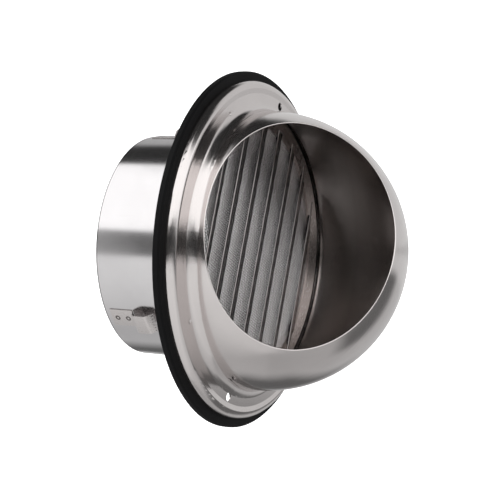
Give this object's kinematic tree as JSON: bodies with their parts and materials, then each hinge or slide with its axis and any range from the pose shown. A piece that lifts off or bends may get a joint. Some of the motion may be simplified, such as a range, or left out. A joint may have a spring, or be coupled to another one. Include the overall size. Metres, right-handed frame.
{
  "type": "cowl vent",
  "caption": "Round stainless wall or bulkhead vent cowl: domed hood over a rolled flange, gasket, inclined louvre with insect screen, and a duct spigot with spring clips.",
  "frame": {"origin": "centre of the gasket's back face, where the spigot's axis meets the wall", "axes": "+Z along the duct's axis, out of the wall; -Y towards the hood's mouth, which hangs down in use; X across, through the two screw holes"},
  "size_m": [0.2318, 0.2318, 0.1754],
  "materials": {
    "stainless_sheet": "satin brushed stainless sheet",
    "spring_steel": "rolled spring strip",
    "screen_wire": "fine woven stainless wire",
    "gasket_rubber": "matte black closed-cell rubber"
  },
  "bodies": {
    "cowl": {"hood": "stainless_sheet", "wall_gasket": "gasket_rubber", "duct_spigot": "stainless_sheet", "insect_screen": "screen_wire", "louvre_ring": "stainless_sheet", "louvre_blade_1": "stainless_sheet", "louvre_blade_2": "stainless_sheet", "louvre_blade_3": "stainless_sheet", "louvre_blade_4": "stainless_sheet", "louvre_blade_5": "stainless_sheet", "louvre_blade_6": "stainless_sheet", "louvre_blade_7": "stainless_sheet", "clip_tab_1": "spring_steel", "clip_tab_2": "spring_steel", "clip_tab_3": "spring_steel"},
    "leaf_1": {"clip_leaf_1": "spring_steel"},
    "leaf_2": {"clip_leaf_2": "spring_steel"},
    "leaf_3": {"clip_leaf_3": "spring_steel"}
  },
  "joints": [
    {"name": "clip_leaf_1_flex", "type": "hinge", "parent": "cowl", "child": "leaf_1", "pos_m": [0.06074, -0.04174, -0.0459], "axis": [-0.5664, -0.8241, 0], "range_deg": [0, 5.5], "stiffness_Nm_per_rad": 0.4},
    {"name": "clip_leaf_2_flex", "type": "hinge", "parent": "cowl", "child": "leaf_2", "pos_m": [0.00578, 0.07347, -0.0459], "axis": [0.9969, -0.0785, 0], "range_deg": [0, 5.5], "stiffness_Nm_per_rad": 0.4},
    {"name": "clip_leaf_3_flex", "type": "hinge", "parent": "cowl", "child": "leaf_3", "pos_m": [-0.06652, -0.03173, -0.0459], "axis": [-0.4305, 0.9026, 0], "range_deg": [0, 5.5], "stiffness_Nm_per_rad": 0.4}
  ]
}
